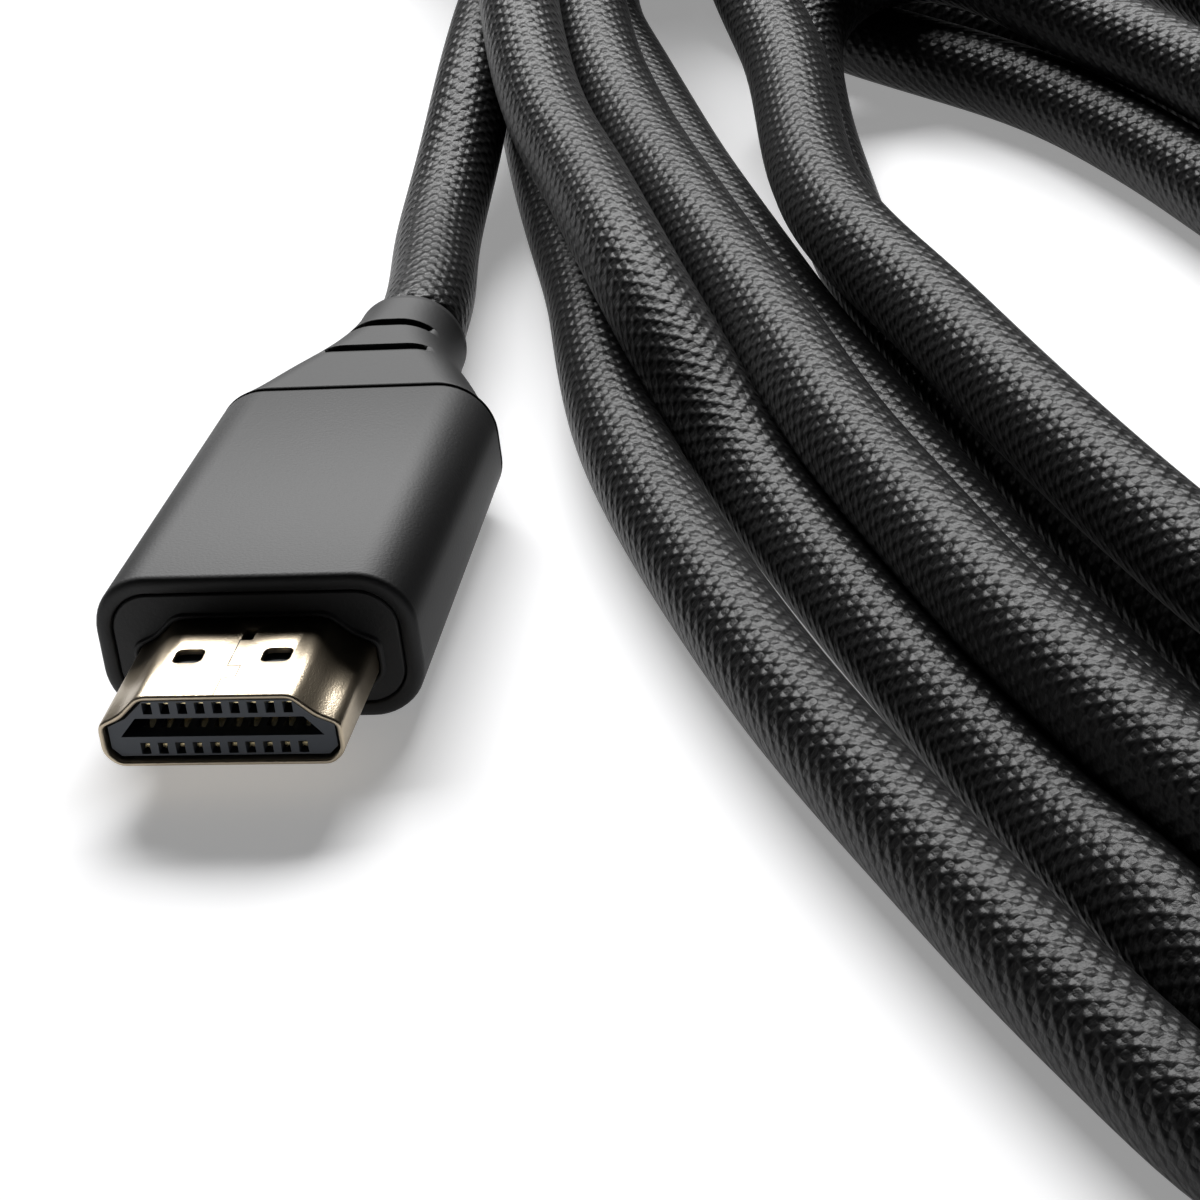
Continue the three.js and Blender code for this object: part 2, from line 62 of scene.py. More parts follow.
# each stretch is listed from its far end, nearest the tie, towards the camera: x, y and height in mm
runs = {
    "run_1": [
        (28.4, 90, 3), (26.8, 77.5, 3), (25.7, 64.7, 3), (24.5, 50, 3), (23.8, 40, 3), (23.2, 31, 3),
        (21.6, 18, 3), (20.8, 4, 3), (21.2, -10, 3), (22.8, -28, 3), (25.5, -44, 3), (28.2, -56.5, 3),
        (31.1, -66, 3),
    ],
    "run_2": [
        (29.0, 92, 13.8), (26.9, 74, 11.6), (25.2, 60, 10.2), (24.4, 48, 9.2), (24.7, 38, 9), (24.6, 29, 9),
        (24.7, 20.3, 8.6), (25.0, 14.8, 7.6), (25.6, 10, 6.4), (26.5, 4, 4.6), (27.2, -3, 3.3),
        (28.9, -19.5, 3), (30.6, -32, 3), (32.2, -45, 3.2), (33.2, -55, 4.4),
    ],
    "run_3": [
        (34.6, 92, 13.4), (31.8, 74, 10.2), (30.4, 62, 8.8), (30.3, 48, 7.6), (30.6, 34.4, 7.5),
        (31.0, 24.5, 7.2), (31.3, 12.5, 7), (31.4, -2.4, 7), (32.5, -16.5, 7), (33.5, -29, 7),
        (35.3, -40, 7), (37.5, -51, 7), (40.2, -62, 7),
    ],
    "run_4": [
        (35.4, 86, 3.2), (34.9, 72.6, 3), (34.6, 61, 3), (34.4, 50, 3), (34.5, 39, 3), (34.6, 29.7, 3),
        (34.7, 20, 3), (35.2, 12, 3), (35.9, 2.7, 3), (36.3, -5, 3), (37.3, -18.6, 3), (38.9, -32, 3),
        (41.4, -46, 3), (44.8, -58, 3),
    ],
    "run_5": [
        (44.0, 88, 13.4), (43.9, 72, 11.4), (43.3, 62, 10.1), (43.1, 57, 9.7), (42.5, 50, 9.3),
        (40.9, 41, 8.8), (39.4, 32, 8.6), (38.8, 24, 8.6), (39.2, 16.6, 8.6), (40.2, 8.5, 8.6),
        (40.9, 0.5, 8.6), (41.6, -7.3, 8.6), (43.1, -21, 8.6), (45.2, -35, 8.6), (48.0, -48, 8.6),
    ],
    "turn_in": [
        (45.6, 59.6, 4.2), (44.8, 55, 3.4), (44.0, 50, 3), (42.8, 41, 3), (41.6, 32, 3), (41.2, 24, 3),
        (41.4, 16, 3), (41.9, 6, 3), (42.5, -5, 3), (43.8, -20, 3), (45.6, -34, 3), (48.8, -47, 3),
    ],
    "turn_out": [
        (47.4, 66.4, 6.0), (52.6, 69.6, 8.0), (58.0, 67.6, 9.0), (61.6, 61.6, 8.8), (63.8, 54.6, 8.4),
        (66.0, 47.5, 8.2), (68.0, 41, 8.2), (69.6, 33, 8.2), (72.4, 14, 8.2), (75.2, -6, 8.2),
        (77.4, -24, 8.2), (78.8, -42, 8.2),
    ],
    "far_1": [
        (48.4, 84, 3.4), (50.4, 76, 3), (52.7, 70, 3), (55.4, 65, 3), (58, 60, 3), (60.6, 55, 3),
        (62.7, 49, 3), (64.4, 42, 3), (65.8, 35, 3), (66.9, 27, 3), (69.6, 10, 3), (72.2, -8, 3),
        (74.6, -25, 3), (76.0, -42, 3),
    ],
    "far_3": [
        (54.6, 90, 12.0), (61.0, 80, 9.4), (68.6, 70, 8.4), (72.8, 61, 8.2), (75.3, 51, 8.2),
        (77.0, 40, 8.2), (78.6, 29, 8.2), (80.8, 12, 8.2), (82.8, -6, 8.2), (84.6, -24, 8.2),
        (85.8, -42, 8.2),
    ],
    "far_4": [
        (54.6, 84, 4.2), (58.6, 76, 3.2), (63.2, 67, 3), (67.0, 59, 3), (70.3, 50, 3), (72.6, 40, 3),
        (74.6, 29, 3), (77.2, 12, 3), (79.6, -6, 3), (81.6, -24, 3), (82.8, -42, 3),
    ],
    "far_5": [
        (51.0, 92, 9.4), (60.0, 84.6, 5.6), (70.2, 76, 3.1), (75.8, 66.4, 3), (79.0, 56, 3), (80.6, 45, 3),
        (81.4, 33, 3), (83.6, 15, 3), (85.8, -5, 3), (87.8, -24, 3), (89.0, -42, 3),
    ],
    "far_6": [
        (55.0, 94, 9.6), (64.4, 87.4, 6.0), (74.6, 79.6, 3.2), (80.8, 69.8, 3), (84.2, 58, 3), (86.2, 46, 3),
        (87.6, 33, 3), (89.9, 15, 3), (92.0, -5, 3), (94.0, -24, 3), (95.2, -42, 3),
    ],
}
seen = {"run_1", "run_2", "run_3", "run_4", "run_5", "turn_out", "far_1"}
lead_a = [
    (10.33, 26.35, 4.3), (12.16, 31.0, 4.2), (14.8, 43.5, 3.6), (16.7, 49.5, 3.9), (18.8, 55, 4.8),
    (21.4, 61, 6.6), (25.6, 72, 8.2), (31, 88, 9.6),
]
lead_b = [(29.5, 120, 4.6), (24.9, 129, 4.3), (21.4, 137.5, 4.1), (19.65, 143.66, 4.3), (17.15, 147.99, 4.3)]

# each strand's place in the tie: x and height in mm
TIE_Y = 112
STRAIGHT_IN_TIE = 5
slots = {
    "run_1": (33.9, 4.8), "run_4": (40.3, 4.8), "far_1": (46.7, 4.8), "far_4": (53.1, 4.8),
    "lead_a": (37.1, 10.0), "far_5": (43.5, 10.0), "far_6": (49.9, 10.0),
    "run_2": (33.9, 15.2), "run_3": (40.3, 15.2), "run_5": (46.7, 15.2), "far_3": (53.1, 15.2),
}
# each turn in winding order: the upper loop's radius and height, the far stretch,
# the lower loop's depth and height, and the near stretch. One turn has no upper loop: it goes back
# down before it comes to the tie
UPPER_LOOP_AT = (50, 148)
LOWER_LOOP_Y = -62
turns = [
    (21.3, 8.4, "far_5", 25.0, 3.0, "run_2"),
    (24.4, 3.2, "far_4", 18.7, 3.0, "run_4"),
    (12.0, 3.2, "far_3", 21.8, 8.2, "run_3"),
    (18.2, 3.2, "far_1", 12.5, 3.0, "turn_in"),
    (0, 0, "turn_out", 15.5, 8.4, "run_5"),
    (15.1, 8.4, "far_6", 31.4, 3.0, "run_1"),
]


def through_tie(name, step):
    """Two points before and behind the tie, in the order of the step's sign."""
    x, z = slots[name]
    return [(x, TIE_Y - STRAIGHT_IN_TIE * step, z), (x, TIE_Y + STRAIGHT_IN_TIE * step, z)]


def arc(centre, across, along, z, start, end, count):
    """Points of a level half ellipse between two angles in degrees."""
    angles = np.radians(np.linspace(start, end, count))
    return [(centre[0] + across * math.cos(a), centre[1] + along * math.sin(a), z) for a in angles]


# the freedom is 0 where the photo shows the cable's place and 1 where the route is guessed
LEAD_SEEN = 5
route = lead_a + through_tie("lead_a", 1)
freedom = [0] * LEAD_SEEN + [1] * (len(route) - LEAD_SEEN)
for radius, upper_z, far, depth, lower_z, near in turns:
    stretch = []
    if radius:
        stretch += arc(UPPER_LOOP_AT, radius, radius, upper_z, 200, -25, 9)
        stretch += through_tie(far, -1)
    freedom += [1] * len(stretch) + [0 if far in seen else 1] * len(runs[far])
    stretch += runs[far]
    x_far = runs[far][-1][0]
    x_near = runs[near][-1][0]
    lower_at = ((x_near + x_far) / 2, LOWER_LOOP_Y)
    lower = arc(lower_at, (x_far - x_near) / 2, depth, lower_z, -20, -160, 7)
    stretch += lower + runs[near][::-1]
    freedom += [1] * len(lower) + [0 if near in seen else 1] * len(runs[near])
    if near != "turn_in":
        stretch += through_tie(near, 1)
        freedom += [1, 1]
    route += stretch
route += lead_b
freedom += [1] * len(lead_b)


def smooth_line(points, step):
    """Evenly spaced points on a centripetal curve through the given ones, and each one's place among them."""
    p = np.array(points, float)
    p = np.vstack([2 * p[0] - p[1], p, 2 * p[-1] - p[-2]])
    line = []
    place = []
    for i in range(1, len(p) - 2):
        a, b, c, d = p[i - 1:i + 3]
        before, between, after = (np.linalg.norm(q) ** 0.5 for q in (b - a, c - b, d - c))
        lean_b = (c - b) + between * ((b - a) / before - (c - a) / (before + between))
        lean_c = (c - b) + between * ((d - c) / after - (d - b) / (between + after))
        count = max(2, int(np.linalg.norm(c - b) / 0.5))
        for s in np.arange(count) / count:
            line.append(
                (2 * s**3 - 3 * s**2 + 1) * b + (s**3 - 2 * s**2 + s) * lean_b
                + (3 * s**2 - 2 * s**3) * c + (s**3 - s**2) * lean_c)
            place.append(i - 1 + s)
    line = np.array(line + [p[-2]])
    place = np.array(place + [len(points) - 1])
    length = np.r_[0, np.cumsum(np.linalg.norm(np.diff(line, axis=0), axis=1))]
    even = np.linspace(0, length[-1], int(length[-1] / step) + 1)
    line = np.stack([np.interp(even, length, line[:, k]) for k in range(3)], axis=1)
    return line, np.interp(even, length, place)


# Strands that run into each other are pushed apart, and the pushes are smoothed along the cable.
# They are kept a little better where the route is guessed, and fade out at the two boots.
DRAWN_STEP = 2.5
NEIGHBOURS = 6
PUSHES = 120
LOOK_EVERY = 10
LOOK_MARGIN = 3
drawn, place = smooth_line(route, DRAWN_STEP)
loose = np.interp(place, np.arange(len(freedom)), freedom)
from_end = np.minimum(np.arange(len(drawn)), np.arange(len(drawn))[::-1])
give = (0.966 + 0.03 * loose) * np.clip(from_end / NEIGHBOURS, 0, 1)
settled = drawn.copy()
first, second = np.triu_indices(len(drawn), NEIGHBOURS)
for pushed in range(PUSHES):
    if pushed % LOOK_EVERY == 0:
        close = (np.abs(settled[first] - settled[second]) < CABLE + LOOK_MARGIN).all(axis=1)
        a_all, b_all = first[close], second[close]
    apart = settled[a_all] - settled[b_all]
    distance = np.linalg.norm(apart, axis=1)
    touching = distance < CABLE
    a, b = a_all[touching], b_all[touching]
    distance = distance[touching]
    push = apart[touching] * ((CABLE - distance) / np.maximum(distance, 0.001) / 2)[:, None]
    move = np.zeros_like(settled)
    hits = np.zeros(len(settled))
    np.add.at(move, a, push)
    np.add.at(move, b, -push)
    np.add.at(hits, a, 1)
    np.add.at(hits, b, 1)
    shift = settled + 0.9 * move / np.maximum(hits, 1)[:, None] - drawn
    for _ in range(3):
        shift[1:-1] = 0.5 * shift[1:-1] + 0.25 * (shift[:-2] + shift[2:])
    settled = drawn + shift * give[:, None]
    settled[:, 2] = np.maximum(settled[:, 2], REACH)

# the stiff cable doesn't follow every small push
for _ in range(4):
    settled[2:-2] = 0.5 * settled[2:-2] + 0.25 * (settled[1:-3] + settled[3:-1])
TUBE_STEP = 1.8
centre, _ = smooth_line(settled, TUBE_STEP)
step_length = np.linalg.norm(np.diff(centre, axis=0), axis=1)
along = np.r_[0, np.cumsum(step_length)]

# the tube's rings are carried along the cable without a twist, so that the weave runs straight
SIDES = 24
tangent = np.gradient(centre, axis=0)
tangent /= np.linalg.norm(tangent, axis=1)[:, None]
normal = np.cross(tangent[0], (0, 0, 1))
normal /= np.linalg.norm(normal)
corners = []
angle = 2 * np.pi * np.arange(SIDES) / SIDES
for p, t in zip(centre, tangent):
    normal = normal - t * normal.dot(t)
    normal /= np.linalg.norm(normal)
    side = np.cross(t, normal)
    corners.append(p + REACH * (np.cos(angle)[:, None] * normal + np.sin(angle)[:, None] * side))
corners = np.array(corners) * MM
cable_mesh = bmesh.new()
weave = cable_mesh.loops.layers.uv.new("weave")
rings = [[cable_mesh.verts.new(v) for v in ring] for ring in corners]
for i in range(len(rings) - 1):
    for k in range(SIDES):
        after = (k + 1) % SIDES
        face = cable_mesh.faces.new((rings[i][k], rings[i][after], rings[i + 1][after], rings[i + 1][k]))
        face.smooth = True
        corner_places = ((k, i), (k + 1, i), (k + 1, i + 1), (k, i + 1))
        for loop, (u, v) in zip(face.loops, corner_places):
            loop[weave].uv = (u / SIDES, along[v] * MM)
cable_mesh.faces.new(rings[0])
cable_mesh.faces.new(rings[-1][::-1])
bmesh.ops.recalc_face_normals(cable_mesh, faces=cable_mesh.faces)


def finished(name, bm, slot, *replaced):
    """Makes an object from the mesh, on the root body, in the place of the named CAD nodes."""
    mesh = bpy.data.meshes.new(name)
    bm.to_mesh(mesh)
    bm.free()
    piece = bpy.data.objects.new(name, mesh)
    bpy.context.collection.objects.link(piece)
    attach(piece, "root")
    if replaced:
        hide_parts(*replaced)
    return piece


cable = finished("braided_cable", cable_mesh, "braid", "cable_lead_a", "cable_coil", "cable_lead_b")


def material(name, colour, roughness, metallic=0.0, specular=0.5):
    """A plain material with the given colour and finish."""
    made = bpy.data.materials.new(name)
    made.use_nodes = True
    shader = made.node_tree.nodes["Principled BSDF"]
    shader.inputs["Base Color"].default_value = (*colour, 1)
    shader.inputs["Roughness"].default_value = roughness
    shader.inputs["Metallic"].default_value = metallic
    shader.inputs["Specular IOR Level"].default_value = specular
    return made


def add(made, kind, **settings):
    """A new shader node in a material."""
    node = made.node_tree.nodes.new(kind)
    for key, value in settings.items():
        setattr(node, key, value)
    return node


def math_node(made, operation, a, b=None):
    """The result of a sum in a material's shader, of numbers or of other nodes' results."""
    node = add(made, "ShaderNodeMath", operation=operation)
    for socket, value in zip(node.inputs, (a, b)):
        if isinstance(value, (int, float)):
            socket.default_value = value
        elif value is not None:
            made.node_tree.links.new(value, socket)
    return node.outputs[0]


def relief(made, height, strength, distance):
    """Gives a material's surface a relief from the heights that a node puts out."""
    bump = add(made, "ShaderNodeBump")
    bump.inputs["Strength"].default_value = strength
    bump.inputs["Distance"].default_value = distance
    made.node_tree.links.new(height, bump.inputs["Height"])
    made.node_tree.links.new(bump.outputs[0], made.node_tree.nodes["Principled BSDF"].inputs["Normal"])


def noise(made, scale, detail=2):
    """The result of a fine noise that stays in place on the piece."""
    where = add(made, "ShaderNodeTexCoord")
    grain = add(made, "ShaderNodeTexNoise")
    grain.inputs["Scale"].default_value = scale
    grain.inputs["Detail"].default_value = detail
    made.node_tree.links.new(where.outputs["Object"], grain.inputs["Vector"])
    return grain.outputs[0]


braid = material("woven_black_nylon", (0.004, 0.004, 0.0043), 0.4, specular=0.14)
braid.node_tree.nodes["Principled BSDF"].inputs["Sheen Weight"].default_value = 0.03
braid.node_tree.nodes["Principled BSDF"].inputs["Sheen Roughness"].default_value = 0.4
uv = add(braid, "ShaderNodeUVMap", uv_map="weave")
parts = add(braid, "ShaderNodeSeparateXYZ")
braid.node_tree.links.new(uv.outputs[0], parts.inputs[0])
# two families of yarns wind round the cable in opposite directions and pass over and under each other
YARNS = 16
PITCH = 0.0014
round_it = math_node(braid, "MULTIPLY", parts.outputs[0], YARNS * 2 * math.pi)
along_it = math_node(braid, "MULTIPLY", parts.outputs[1], 2 * math.pi / PITCH)
waves = [math_node(braid, "COSINE", phase) for phase in (along_it, round_it)]
yarn_backs = math_node(braid, "MAXIMUM", math_node(braid, "MULTIPLY", *waves), -0.25)
fibres = math_node(braid, "MULTIPLY", noise(braid, 2600, 3), 0.9)
relief(braid, math_node(braid, "ADD", yarn_backs, fibres), 0.42, 0.00018)
cable.data.materials.append(braid)

# The shell of each plug is folded from thin sheet steel and plated a pale champagne gold. Its edges are
# rounded by the folding, two latch windows are cut in its narrow side, and its dovetailed seam is a strip of
# painted shade.
# Every piece of a plug is drawn in mm along the y axis, with the shell's mouth at 0, and then put in
# its plug's place: the mouth's x and y before the turn, and the turn in degrees about the sleeve's middle.
SLEEVE_FRONT = 8.7
SLEEVE_LENGTH = 25.6
SLEEVE_REAR = 34.3
SLEEVE_HEIGHT = 9.3
places = {}
for name, x, y, turned in (("plug_a", 0, 0, -21.4), ("plug_b", 3, 172.5, -150)):
    angle_z = math.radians(turned)
    middle = SLEEVE_FRONT + SLEEVE_LENGTH / 2
    shift = Vector((x + middle * math.sin(angle_z), y - middle * math.cos(angle_z), 0)) * MM
    places[name] = Matrix.Translation(shift) @ Matrix.Rotation(angle_z, 4, "Z") @ Matrix.Scale(MM, 4)

SHELL_HEIGHT = 4.45
SHELL_BELOW_MIDDLE = 0.145
SHELL_REAR = 12.2
SHEET = 0.3
SHELL_FOOT = SLEEVE_HEIGHT / 2 - SHELL_HEIGHT / 2 - SHELL_BELOW_MIDDLE
SHELL_TOP = SHELL_FOOT + SHELL_HEIGHT
# the right half of the section: x and height above the shell's foot
half_outline = [(6.15, 0), (6.95, 0.8), (6.95, 2.68), (5.66, 3.27), (4.4, SHELL_HEIGHT)]


def shell_outline(distance):
    """The D-shaped section's corners, moved inwards by the distance."""
    outline = half_outline + [(-x, z) for x, z in reversed(half_outline)]
    outline = [Vector((x, z + SHELL_FOOT)) for x, z in outline]
    moved = []
    for i, point in enumerate(outline):
        before = (point - outline[i - 1]).normalized()
        after = (outline[(i + 1) % len(outline)] - point).normalized()
        inward = Vector((-before.y - after.y, before.x + after.x)).normalized()
        moved.append(point + inward * distance / max(0.2, inward.dot(Vector((-before.y, before.x)))))
    return moved


def eased(outline, radius, count=4):
    """Rounds the corners of a closed outline."""
    out = []
    for i, point in enumerate(outline):
        before = outline[i - 1]
        after = outline[(i + 1) % len(outline)]
        reach = min(radius, (point - before).length * 0.45, (after - point).length * 0.45)
        start = point + (before - point).normalized() * reach
        end = point + (after - point).normalized() * reach
        for k in range(count + 1):
            s = k / count
            out.append(start * (1 - s)**2 + point * 2 * s * (1 - s) + end * s * s)
    return out


def ring(bm, section, y):
    """The vertices of a section that stands across the plug at a station."""
    return [bm.verts.new((p[0], y, p[1])) for p in section]


def bridge(bm, one, other):
    """The smooth band of faces between two rings."""
    for i in range(len(one)):
        k = (i + 1) % len(one)
        face = bm.faces.new((one[i], one[k], other[k], other[i]))
        face.smooth = True


def cut_out(bm, boxes):
    """Takes boxes, their upright edges rounded, out of a closed mesh and gives the new mesh."""
    base = bpy.data.meshes.new("base")
    bm.to_mesh(base)
    bm.free()
    body = bpy.data.objects.new("base", base)
    cutter_mesh = bmesh.new()
    for x0, x1, y0, y1, z0, z1, corner in boxes:
        block = bmesh.ops.create_cube(cutter_mesh, size=1)["verts"]
        for v in block:
            v.co = Vector(((x0 + x1) / 2 + v.co.x * (x1 - x0), (y0 + y1) / 2 + v.co.y * (y1 - y0),
                           (z0 + z1) / 2 + v.co.z * (z1 - z0)))
        edges = {e for v in block for e in v.link_edges}
        upright = [e for e in edges if abs(e.verts[0].co.z - e.verts[1].co.z) > 0.1]
        bmesh.ops.bevel(cutter_mesh, geom=upright, offset=corner, segments=4, profile=0.5,
                        affect="EDGES", material=-1)
    cutter_data = bpy.data.meshes.new("cutter")
    cutter_mesh.to_mesh(cutter_data)
    cutter_mesh.free()
    cutter = bpy.data.objects.new("cutter", cutter_data)
    for o in (body, cutter):
        bpy.context.collection.objects.link(o)
    modifier = body.modifiers.new("cut", "BOOLEAN")
    modifier.operation = "DIFFERENCE"
    modifier.solver = "EXACT"
    modifier.object = cutter
    graph = bpy.context.evaluated_depsgraph_get()
    result = bmesh.new()
    result.from_mesh(body.evaluated_get(graph).to_mesh())
    for o in (body, cutter):
        bpy.data.objects.remove(o)
    return result


plating = material("champagne_plating", (0.46, 0.39, 0.29), 0.33, metallic=1.0)
relief(plating, noise(plating, 9000), 0.35, 0.00004)
seam_painted_shade = material("seam_shadow", (0.05, 0.035, 0.02), 0.6)

# the shell's wall from its rear inside, round the mouth and back outside: how far in from the outside,
# the corners' radius and the station
shell_wall = [
    (SHEET, 0.3, SHELL_REAR), (SHEET, 0.3, 0.12), (0.24, 0.34, 0.02), (0.1, 0.45, 0.0),
    (0.03, 0.48, 0.05), (0, 0.5, 0.16), (0, 0.5, SHELL_REAR),
]
# the two latch windows and the seam's slot: x from and to, y from and to, and the corners' radius
openings = [(-3.34, -1.74, 3.7, 5.1, 0.35), (1.74, 3.34, 3.7, 5.1, 0.35), (0.06, 0.66, 6.15, 7.3, 0.06)]
# the seam with its dovetail, from the mouth to the slot; its gap is drawn as a dark strip of painted shade
SEAM_HALF = 0.035
seam = [(0, 0.1), (0, 1.95), (0.75, 1.95), (0.75, 3.25), (0, 3.25), (0, 6.1), (0.06, 6.15)]
for name, place in places.items():
    bm = bmesh.new()
    stations = [ring(bm, eased(shell_outline(inwards), radius), y) for inwards, radius, y in shell_wall]
    for one, other in zip(stations, stations[1:] + stations[:1]):
        bridge(bm, one, other)
    bmesh.ops.recalc_face_normals(bm, faces=bm.faces)
    bm = cut_out(bm, [(*box, SHELL_TOP - 0.42, SHELL_TOP + 0.5, corner) for *box, corner in openings])
    # the punch rolls the openings' upper edges over
    rolled = [e for e in bm.edges if all(abs(v.co.z - SHELL_TOP) < 0.001 for v in e.verts)
              and len(e.link_faces) == 2 and e.calc_face_angle(0) > 0.8 and 3 < e.verts[0].co.y < 8]
    bmesh.ops.bevel(bm, geom=rolled, offset=0.1, segments=3, profile=0.5, affect="EDGES", material=-1)
    # the seam's gap is a thin dark strip of painted shade, laid just above the shell's top
    for (x0, y0), (x1, y1) in zip(seam, seam[1:]):
        across = Vector((y1 - y0, x0 - x1)).normalized() * SEAM_HALF
        quad = [(x0 - across.x, y0 - across.y), (x0 + across.x, y0 + across.y),
                (x1 + across.x, y1 + across.y), (x1 - across.x, y1 - across.y)]
        strip = bm.faces.new([bm.verts.new((x, y, SHELL_TOP + 0.008)) for x, y in quad])
        strip.material_index = 1
    bmesh.ops.transform(bm, matrix=place, verts=bm.verts)
    shell = finished(name + "_plated_shell", bm, "shell_metal", name + "_shell")
    shell.data.materials.append(plating)
    shell.data.materials.append(seam_painted_shade)

# The insulator is a moulded block of blue-grey plastic with a slot and small square channels.
# The contacts are gold-plated strips that lie in the channels and stand into the slot.
insulator = material("blue_grey_plastic", (0.045, 0.053, 0.066), 0.5)
gold = material("gold_plating", (0.86, 0.72, 0.42), 0.25, metallic=1.0)
for name in places:
    nodes[name + "_insulator"].data.materials.clear()
    nodes[name + "_insulator"].data.materials.append(insulator)
    for number in range(1, 20):
        contact = nodes[f"{name}_contact_{number:02d}"]
        contact.data.materials.clear()
        contact.data.materials.append(gold)

# The sleeve is a black moulded tube with a flat front rim. It narrows slightly towards the cable,
# and its surface has the fine even grain of spark-eroded tooling.
matte = material("grained_black_plastic", (0.012, 0.012, 0.0125), 0.55, specular=0.3)
relief(matte, noise(matte, 5200), 0.3, 0.00005)
SLEEVE_WIDTH = 18.9
REAR_WIDTH = 17.9
REAR_HEIGHT = 8.6
SLEEVE_CORNER = 3.4
SLEEVE_WALL = 1.0


def rounded(width, height, radius, low, count=12):
    """A rounded rectangle's points from its lower right, with its underside at the given height."""
    w, h, r = width / 2, height / 2, min(radius, width / 2, height / 2)
    points = []
    middles = ((w - r, -h + r, -90), (w - r, h - r, 0), (-w + r, h - r, 90), (-w + r, -h + r, 180))
    for cx, cz, start in middles:
        for k in range(count + 1):
            a = math.radians(start + 90 * k / count)
            points.append(Vector((cx + r * math.cos(a), low + h + cz + r * math.sin(a))))
    return points


def sleeve_section(inwards, y):
    """The sleeve's section at a station, moved inwards by a distance."""
    t = (y - SLEEVE_FRONT) / SLEEVE_LENGTH
    width = SLEEVE_WIDTH + (REAR_WIDTH - SLEEVE_WIDTH) * t - 2 * inwards
    height = SLEEVE_HEIGHT + (REAR_HEIGHT - SLEEVE_HEIGHT) * t - 2 * inwards
    return rounded(width, height, max(0.3, SLEEVE_CORNER - inwards), inwards)


# the sleeve's wall from inside its rear, round the front rim and outside to the rear: how far in from
# the outside, and the station
sleeve_wall = [
    (SLEEVE_WALL, SLEEVE_REAR - 4), (SLEEVE_WALL, SLEEVE_FRONT + 0.1), (0.9, SLEEVE_FRONT),
    (0.45, SLEEVE_FRONT), (0.22, SLEEVE_FRONT + 0.06), (0.07, SLEEVE_FRONT + 0.22),
    (0, SLEEVE_FRONT + 0.45), (0, SLEEVE_REAR - 0.3), (0.06, SLEEVE_REAR - 0.08), (0.2, SLEEVE_REAR),
    (SLEEVE_WALL, SLEEVE_REAR),
]
for name, place in places.items():
    bm = bmesh.new()
    rings = [ring(bm, sleeve_section(inwards, y), y) for inwards, y in sleeve_wall]
    for one, other in zip(rings, rings[1:] + rings[:1]):
        bridge(bm, one, other)
    bmesh.ops.recalc_face_normals(bm, faces=bm.faces)
    bmesh.ops.transform(bm, matrix=place, verts=bm.verts)
    sleeve = finished(name + "_sleeve", bm, "housing_plastic", name + "_housing")
    sleeve.data.materials.append(matte)

# The core is the black block that fills the sleeve and holds the shell. A thin lip stands
# round the shell where it comes out of the block.
CORE_REAR = 30.1
# the hole's wall and the lip, from the inside out: how far out from the shell, and the station
lip = [(0.06, 12.4), (0.06, 8.46), (0.12, 8.4), (0.26, 8.4), (0.32, 8.46), (0.34, 8.66)]
# the block's outside: how far in from the sleeve's outside, the sleeve's station and the block's own
core_wall = [
    (1.2, SLEEVE_FRONT, SLEEVE_FRONT + 0.02), (1.1, SLEEVE_FRONT, SLEEVE_FRONT + 0.12),
    (1.1, CORE_REAR, CORE_REAR),
]
for name, place in places.items():
    bm = bmesh.new()
    hole = [ring(bm, eased(shell_outline(-outwards), 0.5), y) for outwards, y in lip]
    outside = [ring(bm, sleeve_section(inwards, at), y) for inwards, at, y in core_wall]
    for wall in (hole, outside):
        for one, other in zip(wall, wall[1:]):
            bridge(bm, one, other)
    edges = [e for rim in (hole[-1], outside[0]) for e in bm.edges
             if e.verts[0] in rim and e.verts[1] in rim]
    bmesh.ops.triangle_fill(bm, use_beauty=True, edges=edges)
    bm.faces.new(outside[-1])
    bm.faces.new(hole[0])
    bmesh.ops.recalc_face_normals(bm, faces=bm.faces)
    bmesh.ops.transform(bm, matrix=place, verts=bm.verts)
    core = finished(name + "_inner_block", bm, "core_plastic", name + "_core")
    core.data.materials.append(matte)

# The boot is the soft moulded strain relief. Its shoulders round in from the sleeve's rear and it
# tapers to the cable, with two grooves across its top and underside to let it bend.
rubber = material("soft_black_plastic", (0.012, 0.012, 0.0125), 0.58, specular=0.3)
relief(rubber, noise(rubber, 4200), 0.25, 0.00004)
BOOT_FRONT = 34.4
BOOT_REAR = 49.5
BOOT_END_WIDTH = 7.4
BOOT_END_HEIGHT = 7.1
BOOT_END_CORNER = 3.6
AXIS_Z = 4.3
MOUTH = 6.1
CORNER_POINTS = 16
grooves = (SLEEVE_REAR + 6.4, SLEEVE_REAR + 10.6)
GROOVE_HALF = 0.5
GROOVE_DEPTH = 1.1
GROOVE_REACH = 3.7


def groove_depth(y):
    """How deep the boot is cut at a station. A groove is a little shallower along its edges."""
    away = min(abs(y - groove) for groove in grooves)
    if away > GROOVE_HALF:
        return 0
    return GROOVE_DEPTH - 0.12 * (away > 0.41)


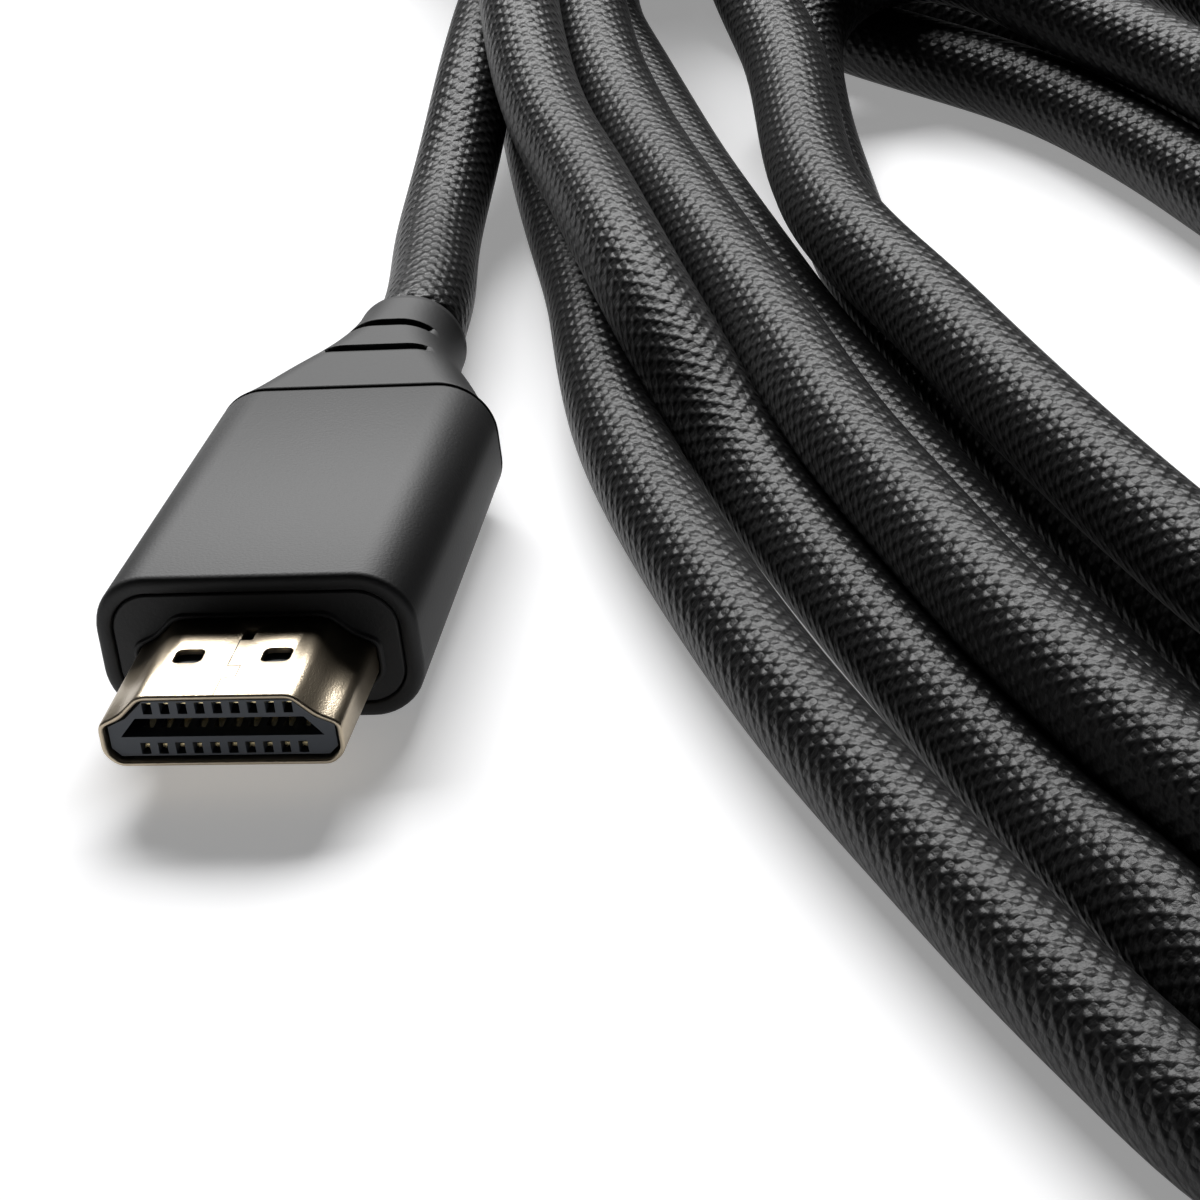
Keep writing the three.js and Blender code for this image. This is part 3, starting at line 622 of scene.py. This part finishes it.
def boot_section(y):
    """The boot's section at a station, with the grooves cut across its top and underside."""
    t = (y - BOOT_FRONT) / (BOOT_REAR - BOOT_FRONT)
    shoulder = (1 - t)**2.1 * (1.12 - 0.12 * math.cos(math.pi * min(1, 2.4 * t)))
    width = BOOT_END_WIDTH + (REAR_WIDTH - BOOT_END_WIDTH) * shoulder
    height = BOOT_END_HEIGHT + (REAR_HEIGHT - BOOT_END_HEIGHT) * (1 - t)
    radius = min(SLEEVE_CORNER * (1 - t) + BOOT_END_CORNER * t, height / 2)
    section = rounded(width, height, radius, AXIS_Z - height / 2, CORNER_POINTS)
    for p in section:
        bite = groove_depth(y) * max(0, 1 - (p.x / GROOVE_REACH)**4)
        p.y = min(max(p.y, AXIS_Z - height / 2 + bite), AXIS_Z + height / 2 - bite)
    return section


boot_stations = set(np.linspace(BOOT_FRONT, BOOT_REAR, 36))
for groove in grooves:
    for away in (0.52, GROOVE_HALF, 0.4):
        boot_stations |= {groove - away, groove + away}
for name, place in places.items():
    bm = bmesh.new()
    rings = [ring(bm, boot_section(y), y) for y in sorted(boot_stations)]
    mouth = rounded(MOUTH, MOUTH, MOUTH / 2, AXIS_Z - MOUTH / 2, CORNER_POINTS)
    rings.append(ring(bm, mouth, BOOT_REAR + 0.1))
    for one, other in zip(rings, rings[1:]):
        bridge(bm, one, other)
    bm.faces.new(rings[-1])
    bm.faces.new(rings[0])
    bmesh.ops.recalc_face_normals(bm, faces=bm.faces)
    bmesh.ops.transform(bm, matrix=place, verts=bm.verts)
    boot = finished(name + "_strain_relief", bm, "boot_plastic", name + "_boot")
    boot.data.materials.append(rubber)

# The tie is a flat strap of woven black tape, 12 mm broad and 1.5 mm thick. It is drawn tight round
# the gathered turns and holds them by friction.
strap = material("woven_black_tape", (0.012, 0.012, 0.012), 0.75)
STRAP = 1.5
STRAP_EDGE = 0.3
GATHERED_WIDTH = 26.4
GATHERED_HEIGHT = 16.6
GATHERED_CORNER = 3.2
tie_front = TIE_Y - 6
tie_rear = TIE_Y + 6
tie_foot = 1.8
tie_middle = Vector((43.5, 0))
sections = []
for grown in (0, STRAP / 2, STRAP):
    section = rounded(GATHERED_WIDTH + 2 * grown, GATHERED_HEIGHT + 2 * grown, GATHERED_CORNER + grown,
                      tie_foot - grown, 8)
    sections.append([p + tie_middle for p in section])
inside, edge, outside = sections
tie_wall = [
    (inside, tie_front + STRAP_EDGE), (inside, tie_rear - STRAP_EDGE), (edge, tie_rear),
    (outside, tie_rear - STRAP_EDGE), (outside, tie_front + STRAP_EDGE), (edge, tie_front),
]
bm = bmesh.new()
loops = [ring(bm, section, y) for section, y in tie_wall]
for one, other in zip(loops, loops[1:] + loops[:1]):
    bridge(bm, one, other)
bmesh.ops.recalc_face_normals(bm, faces=bm.faces)
bmesh.ops.scale(bm, vec=(MM, MM, MM), verts=bm.verts)
tie = finished("woven_tie", bm, "tie_fabric", "coil_tie")
tie.data.materials.append(strap)

# The floor is one flat sheet of matt white paper, far larger than the picture. It glows a little,
# as thin paper does when light comes through it, so that the shadows on it stay soft.
floor_mesh = bpy.data.meshes.new("floor")
floor_mesh.from_pydata([(-4, -4, 0), (4, -4, 0), (4, 4, 0), (-4, 4, 0)], [], [(0, 1, 2, 3)])
floor = bpy.data.objects.new("floor", floor_mesh)
bpy.context.collection.objects.link(floor)
paper = material("white_paper", (0.9, 0.9, 0.91), 0.9, specular=0.1)
paper.node_tree.nodes["Principled BSDF"].inputs["Emission Color"].default_value = (1, 1, 1, 1)
paper.node_tree.nodes["Principled BSDF"].inputs["Emission Strength"].default_value = 0.3
floor_mesh.materials.append(paper)

# The studio is bright behind the part and dark behind the camera. One large soft light hangs behind
# and above the part and gives the edges and the yarns their pale sheen.
world = bpy.data.worlds.new("studio")
world.use_nodes = True
sky = world.node_tree
direction = sky.nodes.new("ShaderNodeTexCoord")
split = sky.nodes.new("ShaderNodeSeparateXYZ")
sky.links.new(direction.outputs["Generated"], split.inputs[0])
fade = sky.nodes.new("ShaderNodeMapRange")
fade.inputs["From Min"].default_value = -0.35
fade.inputs["From Max"].default_value = 0.8
fade.inputs["To Min"].default_value = 0.04
fade.inputs["To Max"].default_value = 1.1
sky.links.new(split.outputs[1], fade.inputs["Value"])
sky.links.new(fade.outputs[0], sky.nodes["Background"].inputs[1])
bpy.context.scene.world = world


def soft_light(name, at, aim, width, depth, power):
    data = bpy.data.lights.new(name, "AREA")
    data.shape = "RECTANGLE"
    data.size = width
    data.size_y = depth
    data.energy = power
    light = bpy.data.objects.new(name, data)
    light.location = at
    light.rotation_euler = (Vector(aim) - Vector(at)).to_track_quat("-Z", "Y").to_euler()
    bpy.context.collection.objects.link(light)


soft_light("softbox_behind", (0.16, 0.95, 0.78), (0.03, 0.0, 0), 0.9, 0.42, 24)

bpy.context.scene.view_settings.view_transform = "Standard"
